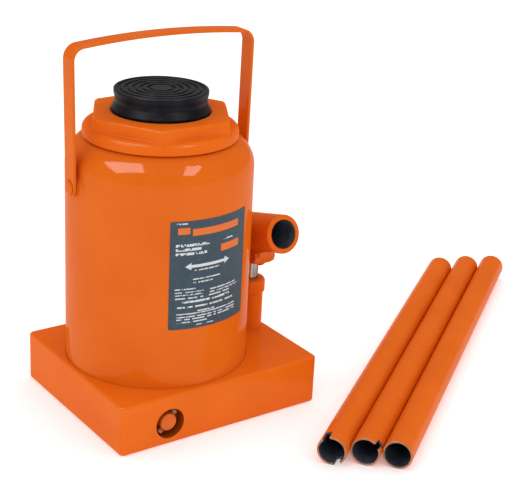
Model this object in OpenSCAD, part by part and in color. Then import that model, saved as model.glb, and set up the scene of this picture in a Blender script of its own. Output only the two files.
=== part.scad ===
// Hydraulic bottle jack: a cast base, a round oil reservoir around a lift cylinder and ram,
// a hand pump with its lever socket, three lever tubes and a strap carrying handle.
// Origin: on the ram's axis, at the underside of the base. +X points at the pump,
// -Y is the face with the release valve, +Z is up. Millimetres.

/* [Base] */
// Length of the base along X
base_l = 210; // [206:1:216]
// Distance from the ram axis to the left face of the base
base_left = 88; // [88:0.5:92]
// Width of the base along Y
base_w = 180; // [176:1:190]
// Height of the base
base_h = 47; // [46:0.5:52]
// Radius of the base's upright corners
base_corner_r = 5; // [3:0.5:12]
// Radius of the base's top and bottom edges
base_edge_r = 2.5; // [1:0.5:3]

/* [Reservoir and lift] */
// Outer radius of the reservoir shell
shell_r = 84; // [83:0.25:85]
// Wall of the reservoir shell
shell_wall = 3.5; // [3:0.25:4]
// Height of the top of the reservoir shell
shell_top = 257; // [254:0.5:257]
// Radius of the shell's rounded shoulder
shoulder_r = 26; // [22:1:26]
// Radius of the lift cylinder's bore
bore_r = 47.5; // [47:0.25:48]
// Wall of the lift cylinder
cylinder_wall = 9; // [8:0.25:9]
// Radius of the ram
ram_r = 41; // [40:0.25:41.5]
// Travel of the ram
lift = 180; // [150:5:180]
// Closed height, from the floor to the top of the saddle
closed_h = 298; // [298:0.5:302]

/* [Head nut and saddle] */
// Radius of the round collar under the hexagon
collar_r = 69.2; // [67:0.1:70]
// Width of the hexagon across its corners
hex_w = 136; // [130:0.5:138]
// Height of the head nut's top face
nut_top = 278; // [276:0.5:278]
// Radius of the saddle at its top edge
saddle_r = 41.8; // [40:0.1:43]
// Number of grip rings on the saddle
saddle_rings = 5; // [3:1:6]

/* [Pump] */
// Distance from the ram axis to the pump axis
pump_x = 105.4; // [105:0.1:107]
// Outer radius of the pump cylinder
pump_r = 12.4; // [12:0.1:13]
// Radius of the pump plunger
plunger_r = 7; // [6:0.25:7]
// Height of the top of the pump's gland nut
gland_top = 98.5; // [96:0.5:99]
// Height of the plunger pin at rest
plunger_pin_z = 117; // [116:0.5:118]
// Distance from the plunger pin to the fulcrum pin
fulcrum_arm = 26; // [25:0.5:28]
// Height of the fulcrum links' lower pin
link_pin_z = 58; // [57:0.5:59]
// Tilt of the lever socket at rest, mouth upwards
socket_tilt = 14.8; // [10:0.1:18]
// Distance from the line of the two pins to the socket's axis
socket_rise = 27.6; // [27:0.1:29]
// Outer radius of the lever socket
socket_r = 18.3; // [17.5:0.1:18.5]
// Bore radius of the lever socket
socket_bore_r = 13.7; // [13.6:0.05:14]

/* [Lever tubes] */
// Outer radius of a lever tube
tube_r = 13.5; // [13:0.05:13.5]
// Wall of a lever tube
tube_wall = 2; // [1.5:0.25:2.5]
// Direction in which the tubes lie on the floor, from +X
tube_angle = 36; // [34:0.5:38]

/* [Carrying handle] */
// Width of the handle's strap
strap_w = 16; // [14:0.5:18]
// Thickness of the handle's strap
strap_t = 3; // [2.5:0.25:3.5]
// Height of the handle's pivots
handle_pivot_z = 220; // [216:1:224]
// Height of the handle's top edge at its middle
handle_top = 348; // [340:1:352]
// Half the handle's outer width at its top corners
handle_half_top = 91.5; // [90:0.5:94]
// Half the handle's outer width at its pivots
handle_half_pivot = 90; // [89.5:0.1:91]

/* [Release valve] */
// Place of the release valve along X
release_x = -38.9; // [-41:0.1:-38]
// Height of the release valve
release_z = 20; // [19:0.5:22]
// Radius of the recess around the release spindle's head
recess_r = 14.2; // [14:0.1:15]
// Depth of that recess
recess_d = 11; // [10:0.5:12]

/* [Hidden] */

$fn = 96;
eps = 0.01;           // overshoot of a cutting shape
run = 0.05;           // radial clearance of a running or screwed fit
paint = "#e8641e";
steel = "#8d9196";
bright = "#d9dcdf";
black = "#1b1c1f";
copper = "#b4693c";
rubber = "#26262a";
brass = "#b89a4a";

seat_z = 30;          // floor of the lift cylinder's seat in the base
washer_t = 1.5;       // copper washers under the lift and pump cylinders
groove_z = 42;        // floor of the groove that holds the reservoir shell
gasket_t = 1.5;
cylinder_r = bore_r + cylinder_wall;
cylinder_top = shell_top - 2.5;
collar_z = shell_top - 0.2;
collar_top = 267;
collar_round = 5.5;
sleeve_z = 238;       // lower end of the head nut's guide sleeve
head_seal_z = 243;
head_seal_h = 3;
nut_step_r = 62.9;    // inside of the collar's skirt, around the upper gasket
wiper_z = 270;
wiper_r = 44;
ram_foot = 33;        // lower end of the ram's stub
ram_shoulder = 54;
stub_r = 30;
saddle_z = 278.6;     // lower edge of the saddle's skirt
ram_top = 282;
spigot_r = 12;
pump_seat_z = 20;
gland_z = 84;         // underside of the gland nut
gland_r = 14;
gallery_z = 14;       // height of the drilled oil galleries
valve_bore_r = 5;
base_right = base_l - base_left;
base_back = base_w / 2;
inlet_riser_x = 66;   // suction gallery, along +X at inlet_y: riser, ball seat, port to the pump
inlet_y = -16;
inlet_seat_x = 100;
inlet_port_x = 107;
delivery_seat_y = 12; // delivery gallery, along +Y from the pump, then back along -X
delivery_x = 32;      // where it rises under the piston
delivery_y = 26;
relief_x = -30;       // overload relief gallery, along +Y: port, ball seat, return
relief_port_y = 20;
relief_seat_y = 40;
relief_return_y = 60;
release_seat_y = -34; // release gallery, along +Y at release_x: return, ball seat, port
release_return_y = -50;
release_port_y = -20;
filler_z = 185;
label_z = 104;
label_h = 100;
label_from = -114.7;  // direction of the label's left edge, from +X
label_sweep = 55.9;
pin_r = 4;
cheek_gap = 7.5;      // half the gap between the rocker's cheeks
cheek_t = 4;
slot_half = 1.8;      // half the slot's length between its end arcs, for the plunger pin
slot_play = 0.7;      // and its clearance around the pin
link_in = 12;         // inner face of a fulcrum link, from the pump's axis
link_t = 4;
tube_pitch = 2 * tube_r + 0.4;
tube_start = [62.2, -192.2];
tube_len = [460, 468, 476];
tube_shift = [0, 10.5, 16.5];
strap_corner_r = 13;
strap_bow = 4;        // rise of the handle's bar above its corners
handle_inner = handle_half_pivot - strap_t;

// Fulcrum pin at rest: beside the plunger pin, along the tilted socket.
fulcrum_y = fulcrum_arm * cos(socket_tilt);
fulcrum_z = plunger_pin_z - fulcrum_arm * sin(socket_tilt);

// ---- shared shapes ----

// A cylinder along +Y from y0 to y1, at x and z.
module rod_y(x, z, y0, y1, r) {
    translate([x, y0, z]) rotate([-90, 0, 0]) cylinder(r = r, h = y1 - y0);
}

// A cylinder along +X from x0 to x1, at y and z.
module rod_x(y, z, x0, x1, r) {
    translate([x0, y, z]) rotate([0, 90, 0]) cylinder(r = r, h = x1 - x0);
}

// A ring about Z.
module ring(r_in, r_out, z0, z1) {
    translate([0, 0, z0]) difference() {
        cylinder(r = r_out, h = z1 - z0);
        translate([0, 0, -eps]) cylinder(r = r_in, h = z1 - z0 + 2 * eps);
    }
}

// The closed tube of a coil spring about Z: ring k of the sweep turns and climbs together.
module coil_spring(r, wire_r, length, turns) {
    sides = 8;
    per_turn = 14;
    n = turns * per_turn;
    rise = (length - 2 * wire_r) / n;
    lean = atan2(rise * per_turn, 2 * PI * r);
    function station(k) = [for (j = [0:sides - 1])
        let (a = 360 * k / per_turn, b = 360 * j / sides,
             out = r + wire_r * cos(b), along = -wire_r * sin(b) * sin(lean))
        [out * cos(a) - along * sin(a), out * sin(a) + along * cos(a),
         wire_r + k * rise + wire_r * sin(b) * cos(lean)]];
    points = [for (k = [0:n]) each station(k)];
    sides_faces = [for (k = [0:n - 1], j = [0:sides - 1])
        let (a = k * sides + j, b = k * sides + (j + 1) % sides)
        each [[a, b, b + sides], [a, b + sides, a + sides]]];
    first = [for (j = [sides - 1:-1:0]) j];
    last = [for (j = [0:sides - 1]) n * sides + j];
    polyhedron(points, concat(sides_faces, [first, last]));
}

// A screwed plug along +Y with a hexagon key socket in its outer end.
module plug(r, length, key_w) {
    difference() {
        rotate([-90, 0, 0]) cylinder(r = r - run, h = length);
        translate([0, length * 0.45, 0]) rotate([-90, 0, 0])
            cylinder(r = key_w / sqrt(3), h = length, $fn = 6);
    }
}

// ---- cast base with its drilled oil ways ----

// One corner post of the block: upright, with rounded ends like the casting's edges.
module base_post() {
    e = base_edge_r;
    translate([0, 0, e]) cylinder(r = base_corner_r, h = base_h - 2 * e, $fn = 32);
    for (a = [30, 60, 90]) translate([0, 0, e - e * sin(a)])
        cylinder(r = base_corner_r - e + e * cos(a), h = base_h - 2 * (e - e * sin(a)), $fn = 32);
}

module base_block() {
    hull() for (x = [-base_left + base_corner_r, base_l - base_left - base_corner_r], s = [-1, 1])
        translate([x, s * (base_w / 2 - base_corner_r), 0]) base_post();
}

// Lug welded on the base, which carries the fulcrum links' lower pin.
module link_lug() {
    half = link_in - 0.5;
    lug_r = 9;
    color(paint) difference() {
        union() {
            rod_x(fulcrum_y, link_pin_z, pump_x - half, pump_x + half, lug_r);
            translate([pump_x - half, fulcrum_y - lug_r, base_h])
                cube([2 * half, 2 * lug_r, link_pin_z - base_h]);
        }
        rod_x(fulcrum_y, link_pin_z, pump_x - link_in, pump_x + link_in, pin_r + run);
    }
}

module riser(x, y, r, z_top) {
    translate([x, y, gallery_z]) cylinder(r = r, h = z_top - gallery_z + eps);
}

module base() {
    color(paint) difference() {
        base_block();
        // seats of the lift cylinder, reservoir shell and pump cylinder
        translate([0, 0, seat_z]) cylinder(r = cylinder_r + run, h = base_h);
        ring(shell_r - shell_wall - 0.3, shell_r + 0.3, groove_z, base_h + 1);
        translate([pump_x, 0, pump_seat_z]) cylinder(r = pump_r + run, h = base_h);
        riser(pump_x, 0, 3, pump_seat_z);
        // suction: reservoir, seat, ball chamber, pump
        riser(inlet_riser_x, inlet_y, 3, base_h);
        rod_x(inlet_y, gallery_z, inlet_riser_x, inlet_seat_x + eps, 2.5);
        rod_x(inlet_y, gallery_z, inlet_seat_x, base_right + 1, valve_bore_r + run);
        rod_y(inlet_port_x, gallery_z, inlet_y, 0, 2);
        // delivery: pump, seat, ball chamber, space under the piston
        rod_y(pump_x, gallery_z, 0, delivery_seat_y + eps, 2);
        rod_y(pump_x, gallery_z, delivery_seat_y, base_back + 1, valve_bore_r + run);
        rod_x(delivery_y, gallery_z, delivery_x, base_right - 9, 2.5);
        rod_x(delivery_y, gallery_z, base_right - 9 - eps, base_right + 1, valve_bore_r + run);
        riser(delivery_x, delivery_y, 3, seat_z);
        // overload relief: space under the piston, seat, ball chamber, reservoir
        riser(relief_x, relief_port_y, 2.5, seat_z);
        rod_y(relief_x, gallery_z, relief_port_y, relief_seat_y + eps, 2);
        rod_y(relief_x, gallery_z, relief_seat_y, base_back + 1, valve_bore_r + run);
        riser(relief_x, relief_return_y, 2.5, base_h);
        // release: recess for the lever's end, spindle bore, seat, port and return
        rod_y(release_x, release_z, -base_back - 1, -base_back + recess_d, recess_r);
        rod_y(release_x, release_z, -base_back, release_seat_y, 6 + run);
        rod_y(release_x, release_z, release_seat_y - eps, release_port_y, 2);
        translate([release_x, release_port_y, release_z]) cylinder(r = 2.5, h = seat_z - release_z + eps);
        translate([release_x, release_return_y, release_z]) cylinder(r = 3, h = base_h - release_z + 1);
    }
}

// ---- lift cylinder, reservoir and head nut ----

module cylinder_washer() {
    color(copper) ring(bore_r + 0.5, cylinder_r, seat_z, seat_z + washer_t);
}

module lift_cylinder() {
    color(steel) ring(bore_r, cylinder_r, seat_z + washer_t, cylinder_top);
}

module lower_shell_gasket() {
    color(rubber) ring(shell_r - shell_wall, shell_r, groove_z, groove_z + gasket_t);
}

// Half section of the space under a domed can, from its foot to its flat top.
module can_section(r, round_r, foot) {
    shoulder = shell_top - shoulder_r;
    translate([0, foot]) square([r, shoulder - foot]);
    translate([0, foot]) square([r - round_r, shoulder + round_r - foot]);
    translate([r - round_r, shoulder]) circle(r = round_r);
}

module reservoir_shell() {
    foot = groove_z + gasket_t;
    color(paint) difference() {
        rotate_extrude() difference() {
            can_section(shell_r, shoulder_r, foot);
            can_section(shell_r - shell_wall, shoulder_r - shell_wall, foot - 1);
            translate([0, foot]) square([cylinder_r + 0.8, shell_top]);
        }
        rod_y(0, filler_z, shell_r - 10, shell_r + 5, 6.3);
    }
}

module upper_shell_gasket() {
    color(rubber) ring(cylinder_r + 0.8, nut_step_r - 0.3, shell_top, shell_top + 2);
}

// Half section of the head nut's round parts: guide sleeve, step onto the cylinder, collar.
module nut_section() {
    translate([0, sleeve_z]) square([bore_r - 0.1, cylinder_top - sleeve_z + eps]);
    translate([0, cylinder_top]) square([cylinder_r + 0.5, shell_top + 2 - cylinder_top + eps]);
    translate([0, shell_top + 2]) square([collar_r - collar_round, collar_top - shell_top - 2]);
    translate([nut_step_r, collar_z])
        square([collar_r - nut_step_r, collar_top - collar_round - collar_z]);
    translate([collar_r - collar_round, collar_top - collar_round]) intersection() {
        circle(r = collar_round);
        square(collar_round);
    }
}

module head_nut() {
    chamfer_r = hex_w * sqrt(3) / 4;
    color(paint) difference() {
        union() {
            rotate_extrude() nut_section();
            intersection() {
                translate([0, 0, collar_top - 6])
                    cylinder(r = hex_w / 2, h = nut_top - collar_top + 6, $fn = 6);
                rotate_extrude() polygon([[0, collar_top - 6], [hex_w / 2 + 1, collar_top - 6],
                    [hex_w / 2 - 0.5, nut_top - 7], [hex_w / 2 - 2.5, nut_top - 1.8],
                    [chamfer_r, nut_top], [0, nut_top]]);
            }
        }
        translate([0, 0, sleeve_z - 1]) cylinder(r = ram_r + run, h = nut_top);
        translate([0, 0, wiper_z]) cylinder(r = wiper_r, h = nut_top);
        ring(bore_r - 2.5, bore_r + 1, head_seal_z, head_seal_z + head_seal_h);
    }
}

module head_seal() {
    color(rubber) ring(bore_r - 2.5, bore_r - 0.05, head_seal_z, head_seal_z + head_seal_h);
}

module wiper_ring() {
    color(black) rotate_extrude()
        polygon([[ram_r + run, wiper_z], [wiper_r, wiper_z], [wiper_r, nut_top - 0.4],
                 [ram_r + 1.6, nut_top - 0.4], [ram_r + 0.9, nut_top - 3], [ram_r + run, nut_top - 2]]);
}

// Bosses welded to the shell, each with a riveted stud for the carrying handle.
module handle_pivots() {
    color(paint) for (s = [0, 1]) mirror([s, 0, 0]) difference() {
        union() {
            rod_x(0, handle_pivot_z, shell_r - 8, handle_inner - 1.8, 9);
            rod_x(0, handle_pivot_z, handle_inner - 2, handle_half_pivot + 0.5, pin_r);
            rod_x(0, handle_pivot_z, handle_half_pivot + 0.4, handle_half_pivot + 2.2, 6.5);
        }
        cylinder(r = shell_r, h = shell_top);
    }
}

// Loose washers on the studs, between the bosses and the strap.
module handle_washers() {
    color(steel) for (s = [0, 1]) mirror([s, 0, 0]) difference() {
        rod_x(0, handle_pivot_z, handle_inner - 1.5, handle_inner - 0.45, 8.5);
        rod_x(0, handle_pivot_z, handle_inner - 2, handle_inner, pin_r + run);
    }
}

// Printed sheet-metal plate wrapped on the front of the shell.
module label_plate() {
    color("#4c5968") intersection() {
        ring(shell_r, shell_r + 0.4, label_z, label_z + label_h);
        rotate([0, 0, label_from]) linear_extrude(label_z + label_h + 1)
            polygon(concat([[0, 0]], [for (a = [0, label_sweep / 2, label_sweep]) 100 * [cos(a), sin(a)]]));
    }
}

// ---- hand pump ----

module pump_washer() {
    color(copper) translate([pump_x, 0, 0]) ring(5, pump_r, pump_seat_z, pump_seat_z + washer_t);
}

module pump_cylinder() {
    color(paint) translate([pump_x, 0, 0]) difference() {
        union() {
            translate([0, 0, pump_seat_z + washer_t])
                cylinder(r = pump_r, h = gland_z - pump_seat_z - washer_t);
            translate([0, 0, gland_z - eps]) cylinder(r = 10, h = 6);
        }
        translate([0, 0, pump_seat_z]) cylinder(r = plunger_r + run, h = gland_top - pump_seat_z);
    }
}

module gland_nut() {
    color(paint) translate([pump_x, 0, 0]) difference() {
        rotate_extrude() union() {
            translate([0, gland_z]) square([gland_r, gland_top - gland_z - 2.5]);
            translate([0, gland_z]) square([gland_r - 2.5, gland_top - gland_z]);
            translate([gland_r - 2.5, gland_top - 2.5]) circle(r = 2.5);
        }
        translate([0, 0, gland_z - 1]) cylinder(r = 10 + run, h = 11);
        translate([0, 0, gland_z]) cylinder(r = plunger_r + run, h = 20);
    }
}

module plunger_seal() {
    color(rubber) translate([pump_x, 0, 0]) ring(plunger_r + run, 10, gland_z + 6, gland_z + 10);
}

module inlet_ball() {
    color(steel) translate([inlet_seat_x + 2.5, inlet_y, gallery_z]) sphere(r = 3.5, $fn = 48);
}

module inlet_spring() {
    color(bright) translate([inlet_seat_x + 6.1, inlet_y, gallery_z]) rotate([0, 90, 0])
        coil_spring(3.2, 0.5, 6.4, 3);
}

module inlet_plug() {
    color(steel) translate([base_right - 9.4, inlet_y, gallery_z]) rotate([0, 0, -90])
        plug(valve_bore_r, 9, 5);
}

module delivery_ball() {
    color(steel) translate([pump_x, delivery_seat_y + 2.95, gallery_z]) sphere(r = 3.5, $fn = 48);
}

module delivery_spring() {
    color(bright) translate([pump_x, delivery_seat_y + 6.6, gallery_z]) rotate([-90, 0, 0])
        coil_spring(3.2, 0.5, 15, 5);
}

module delivery_plug() {
    color(steel) {
        translate([pump_x, base_back - 10.4, gallery_z]) plug(valve_bore_r, 10, 5);
        rod_y(pump_x, gallery_z, delivery_seat_y + 21.7, base_back - 10.4, 3);
    }
}

module gallery_plug() {
    color(steel) translate([base_right - 8.9, delivery_y, gallery_z]) rotate([0, 0, -90])
        plug(valve_bore_r, 8.5, 5);
}

module relief_ball() {
    color(steel) translate([relief_x, relief_seat_y + 2.3, gallery_z]) sphere(r = 3, $fn = 48);
}

module relief_spring() {
    color(bright) translate([relief_x, relief_seat_y + 5.4, gallery_z]) rotate([-90, 0, 0])
        coil_spring(2.9, 0.7, 20, 6);
}

module relief_screw() {
    color(steel) translate([relief_x, relief_seat_y + 25.5, gallery_z]) plug(valve_bore_r, 12, 5);
}

module relief_cap() {
    color(brass) translate([relief_x, base_back - 9, gallery_z]) plug(valve_bore_r, 8.6, 5);
}

// ---- fulcrum link pair and its pins ----

// A plain pin along X with a head at its left end.
module headed_pin(y, z, half) {
    rod_x(y, z, pump_x - half - 1, pump_x + half + 2.5, pin_r);
    rod_x(y, z, pump_x - half - 3, pump_x - half - 0.3, pin_r + 2);
}

// A retaining washer sprung onto the pin's right end.
module pin_clip(y, z, half) {
    difference() {
        rod_x(y, z, pump_x + half + 0.3, pump_x + half + 1.5, pin_r + 2);
        rod_x(y, z, pump_x + half, pump_x + half + 2, pin_r);
    }
}

module link_pin() { color(steel) headed_pin(fulcrum_y, link_pin_z, link_in + link_t); }
module link_pin_clips() { color(bright) pin_clip(fulcrum_y, link_pin_z, link_in + link_t); }
module fulcrum_pin() { color(steel) headed_pin(fulcrum_y, fulcrum_z, link_in + link_t); }
module fulcrum_pin_clips() { color(bright) pin_clip(fulcrum_y, fulcrum_z, link_in + link_t); }

module fulcrum_links() {
    color(steel) for (x = [pump_x - link_in - link_t, pump_x + link_in]) difference() {
        union() {
            rod_x(fulcrum_y, link_pin_z, x, x + link_t, 8);
            rod_x(fulcrum_y, fulcrum_z, x, x + link_t, 8);
            translate([x, fulcrum_y - 7, link_pin_z]) cube([link_t, 14, fulcrum_z - link_pin_z]);
        }
        rod_x(fulcrum_y, link_pin_z, x - 1, x + link_t + 1, pin_r + run);
        rod_x(fulcrum_y, fulcrum_z, x - 1, x + link_t + 1, pin_r);
    }
}

// ---- ram, piston and saddle ----

module ram() {
    color(bright) difference() {
        union() {
            translate([0, 0, ram_shoulder]) cylinder(r = ram_r, h = ram_top - ram_shoulder);
            translate([0, 0, ram_foot]) cylinder(r = stub_r, h = ram_shoulder - ram_foot + eps);
        }
        translate([0, 0, ram_top - 16]) cylinder(r = spigot_r, h = 17);
    }
}

module piston_guide() { color(brass) ring(stub_r, bore_r - run, 46, ram_shoulder); }

module piston_seal() {
    color(rubber) rotate_extrude()
        polygon([[stub_r, 38], [bore_r - 9, 38], [bore_r - 5, 43], [bore_r - 2.5, 38],
                 [bore_r - run, 38], [bore_r - run, 46], [stub_r, 46]]);
}

module piston_retainer() { color(steel) ring(stub_r, 36, ram_foot, 38); }

module saddle() {
    ring_w = saddle_r / (saddle_rings + 1.5);
    color(black) difference() {
        union() {
            rotate_extrude()
                polygon([[0, ram_top], [ram_r + run, ram_top], [ram_r + run, saddle_z], [43.6, saddle_z],
                         [43.6, saddle_z + 1.5], [40.9, saddle_z + 8], [40.7, saddle_z + 11],
                         [saddle_r, closed_h - 4], [saddle_r, closed_h - 1], [saddle_r - 1, closed_h],
                         [0, closed_h]]);
            translate([0, 0, ram_top - 14]) cylinder(r = spigot_r, h = 14 + eps);
        }
        for (k = [1:saddle_rings])
            ring((k + 0.5) * ring_w, (k + 1) * ring_w, closed_h - 1.2, closed_h + 1);
    }
}

// ---- plunger and lever socket ----

module pump_plunger() {
    color(bright) difference() {
        union() {
            translate([pump_x, 0, 36]) cylinder(r = plunger_r, h = plunger_pin_z - 36);
            translate([pump_x, 0, plunger_pin_z]) sphere(r = plunger_r);
        }
        rod_x(0, plunger_pin_z, pump_x - 10, pump_x + 10, pin_r);
    }
}

module plunger_pin() { color(steel) headed_pin(0, plunger_pin_z, cheek_gap + cheek_t); }
module plunger_pin_clips() { color(bright) pin_clip(0, plunger_pin_z, cheek_gap + cheek_t); }

// Places its children in the lever's own frame: origin at the plunger pin, mouth towards -Y.
module on_lever() {
    translate([pump_x, 0, plunger_pin_z]) rotate([-socket_tilt, 0, 0]) children();
}

module lever_socket() {
    color(paint) on_lever() difference() {
        rod_y(0, socket_rise, -57.5, 8, socket_r);
        rod_y(0, socket_rise, -60, 10, socket_bore_r);
    }
}

module socket_end_plate() {
    color(paint) on_lever() rod_y(0, socket_rise, 8, 11, socket_r - 0.5);
}

// Side outline of a cheek, as [along, up] in the lever's frame.
module cheek_outline() {
    tail = fulcrum_arm;
    difference() {
        union() {
            circle(r = 8.5);
            translate([tail, 0]) circle(r = 9);
            translate([0, -8.5]) square([tail, 17]);
            translate([-24, -2]) square([24 + 10, socket_rise - 6]);
            translate([-48, 8]) square([30, socket_rise - 16]);
            polygon([[8, 0], [10, socket_rise - 8], [14, socket_rise - 8], [tail + 8, 5], [tail + 5, 0]]);
        }
        translate([-43, -13]) circle(r = 25);
    }
}

module socket_cheeks() {
    color(paint) on_lever() difference() {
        for (x = [-cheek_gap - cheek_t, cheek_gap]) translate([x, 0, 0])
            rotate([90, 0, 90]) linear_extrude(cheek_t) cheek_outline();
        rod_y(0, socket_rise, -60, 11, socket_r);
        // slot that lets the plunger pin stay on the pump's axis while the lever swings
        for (y = [-slot_half, slot_half]) rod_x(y, 0, -20, 20, pin_r + slot_play);
        translate([-20, -slot_half, -pin_r - slot_play]) cube([40, 2 * slot_half, 2 * (pin_r + slot_play)]);
        rod_x(fulcrum_arm, 0, -20, 20, pin_r + run);
    }
}

// ---- carrying handle ----

// One side of the strap's front view, outer edge set in by d: leg, corner arc, half the bowed top.
function strap_edge(d) =
    let (corner_r = strap_corner_r - d, half = handle_half_top - strap_corner_r,
         corner_z = handle_top - strap_bow - strap_corner_r, drop = strap_w / 2 + 1,
         lean = (handle_half_top - handle_half_pivot) / (corner_z - handle_pivot_z),
         bow_r = (half * half + strap_bow * strap_bow) / (2 * strap_bow))
    concat([[handle_half_pivot - d - drop * lean, handle_pivot_z - drop]],
           [for (a = [0:11.25:90]) [half + corner_r * cos(a), corner_z + corner_r * sin(a)]],
           [for (x = [half * 0.8:-half * 0.2:0])
               [x, handle_top - d - bow_r + sqrt(bow_r * bow_r - x * x)]]);

function mirrored(points) =
    [for (i = [len(points) - 1:-1:0]) if (points[i][0] > 0.001) [-points[i][0], points[i][1]]];
function reversed(points) = [for (i = [len(points) - 1:-1:0]) points[i]];
function strap_path(d) = concat(strap_edge(d), mirrored(strap_edge(d)));

module carry_handle() {
    color(paint) difference() {
        intersection() {
            translate([0, strap_w / 2, 0]) rotate([90, 0, 0]) linear_extrude(strap_w)
                polygon(concat(strap_path(0), reversed(strap_path(strap_t))));
            union() {
                translate([-handle_half_top - 1, -strap_w / 2, handle_pivot_z])
                    cube([2 * handle_half_top + 2, strap_w, handle_top - handle_pivot_z + 1]);
                rod_x(0, handle_pivot_z, -handle_half_top, handle_half_top, strap_w / 2);
            }
        }
        rod_x(0, handle_pivot_z, -handle_half_top, handle_half_top, pin_r + run);
    }
}

// ---- release valve ----

seal_y = -70;         // front of the spindle's seal groove
seal_w = 3;
seal_core_r = 4.4;

module release_ball() {
    color(steel) translate([release_x, release_seat_y - 2.3, release_z]) sphere(r = 3, $fn = 48);
}

module release_spindle() {
    head_y = -base_back + 2;
    floor_y = -base_back + recess_d - 0.3;
    lug_l = 24.6;
    lug_w = 5;
    color(paint) difference() {
        union() {
            rod_y(release_x, release_z, head_y, floor_y, 7.2);
            rod_y(release_x, release_z, floor_y - eps, -56, 6);
            rod_y(release_x, release_z, -56 - eps, release_seat_y - 5.4, 4);
            translate([release_x, 0, release_z]) rotate([0, -48, 0])
                translate([-lug_l / 2, head_y + 2, -lug_w / 2]) cube([lug_l, floor_y - head_y - 2, lug_w]);
        }
        difference() {
            rod_y(release_x, release_z, seal_y, seal_y + seal_w, 8);
            rod_y(release_x, release_z, seal_y - 1, seal_y + seal_w + 1, seal_core_r);
        }
    }
}

module release_seal() {
    color(rubber) difference() {
        rod_y(release_x, release_z, seal_y, seal_y + seal_w, 6.02);
        rod_y(release_x, release_z, seal_y - 1, seal_y + seal_w + 1, seal_core_r);
    }
}

// ---- oil filler plug at the back of the reservoir ----

module oil_filler_plug() {
    color(rubber) {
        rod_y(0, filler_z, shell_r - 6, shell_r + 2, 6.2);
        rod_y(0, filler_z, shell_r + 0.4, shell_r + 5, 9);
    }
}

// ---- lever tubes, lying side by side on the floor ----

// Places its children in tube k's frame: origin at the near end's centre, +X along the tube.
module on_tube(k) {
    translate([tube_start[0], tube_start[1], tube_r]) rotate([0, 0, tube_angle])
        translate([tube_shift[k], -k * tube_pitch, 0]) children();
}

module tube(k) {
    difference() {
        rod_x(0, 0, 0, tube_len[k], tube_r);
        rod_x(0, 0, -1, tube_len[k] + 1, tube_r - tube_wall);
    }
}

// A slot in the near end, at an angle about the tube from its right side.
module end_slot(angle, width, depth) {
    rotate([angle, 0, 0]) translate([-1, -tube_r - 1, -width / 2]) cube([depth + 1, tube_r + 1, width]);
}

module lever_tube_1() {
    color(paint) on_tube(0) difference() {
        tube(0);
        end_slot(-116, 6.5, 11);
        end_slot(64, 6.5, 11);
    }
}

module lever_tube_2() {
    color(paint) on_tube(1) difference() {
        tube(1);
        end_slot(-38, 5.5, 9);
        rotate([-26, 0, 0]) translate([4.5, -tube_r - 1, -2.5]) cube([4.5, tube_r + 1, 5]);
    }
}

module lever_tube_3() { color(paint) on_tube(2) tube(2); }

base();
link_lug();
cylinder_washer();
lift_cylinder();
lower_shell_gasket();
reservoir_shell();
upper_shell_gasket();
head_nut();
head_seal();
wiper_ring();
handle_pivots();
pump_washer();
pump_cylinder();
gland_nut();
plunger_seal();
inlet_ball();
inlet_spring();
inlet_plug();
delivery_ball();
delivery_spring();
delivery_plug();
gallery_plug();
relief_ball();
relief_spring();
relief_screw();
relief_cap();
link_pin();
link_pin_clips();
label_plate();
ram();
piston_guide();
piston_seal();
piston_retainer();
saddle();
handle_washers();
carry_handle();
pump_plunger();
plunger_pin();
plunger_pin_clips();
fulcrum_links();
fulcrum_pin();
fulcrum_pin_clips();
lever_socket();
socket_cheeks();
socket_end_plate();
release_ball();
release_spindle();
release_seal();
oil_filler_plug();
lever_tube_1();
lever_tube_2();
lever_tube_3();
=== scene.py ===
"""Looks for the hydraulic bottle jack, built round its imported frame.

Row frame in metres: +Z up along the ram, +X towards the pump, -Y the face with the release valve.
"""

import math

import bmesh
import bpy
from mathutils import Matrix, Vector


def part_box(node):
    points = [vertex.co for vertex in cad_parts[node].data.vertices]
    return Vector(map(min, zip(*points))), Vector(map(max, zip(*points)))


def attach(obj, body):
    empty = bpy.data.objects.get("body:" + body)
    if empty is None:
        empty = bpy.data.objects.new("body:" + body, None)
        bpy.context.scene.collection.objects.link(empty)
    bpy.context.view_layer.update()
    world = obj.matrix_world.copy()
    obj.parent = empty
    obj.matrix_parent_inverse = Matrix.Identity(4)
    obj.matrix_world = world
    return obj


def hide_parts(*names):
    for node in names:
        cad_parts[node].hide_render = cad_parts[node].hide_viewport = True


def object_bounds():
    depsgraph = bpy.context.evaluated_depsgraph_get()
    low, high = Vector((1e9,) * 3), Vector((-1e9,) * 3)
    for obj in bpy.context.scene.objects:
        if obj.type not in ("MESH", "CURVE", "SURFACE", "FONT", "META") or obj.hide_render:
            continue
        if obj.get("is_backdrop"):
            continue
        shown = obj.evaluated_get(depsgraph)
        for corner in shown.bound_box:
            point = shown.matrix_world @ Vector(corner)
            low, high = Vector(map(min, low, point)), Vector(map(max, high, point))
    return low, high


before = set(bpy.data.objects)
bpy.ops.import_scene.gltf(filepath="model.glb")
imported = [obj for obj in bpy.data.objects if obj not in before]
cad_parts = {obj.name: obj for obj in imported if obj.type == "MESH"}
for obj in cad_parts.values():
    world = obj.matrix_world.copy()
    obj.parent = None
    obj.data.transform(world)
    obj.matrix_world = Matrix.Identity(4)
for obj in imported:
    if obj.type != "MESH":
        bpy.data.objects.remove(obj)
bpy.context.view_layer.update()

# ---- Cast base ----
# A thick rectangular block, its faces ground flat and its rims rounded over. It is bored for the lift
# cylinder, the reservoir's groove, the pump and the oil ways, and sprayed with orange enamel.
MM = 0.001


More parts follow.
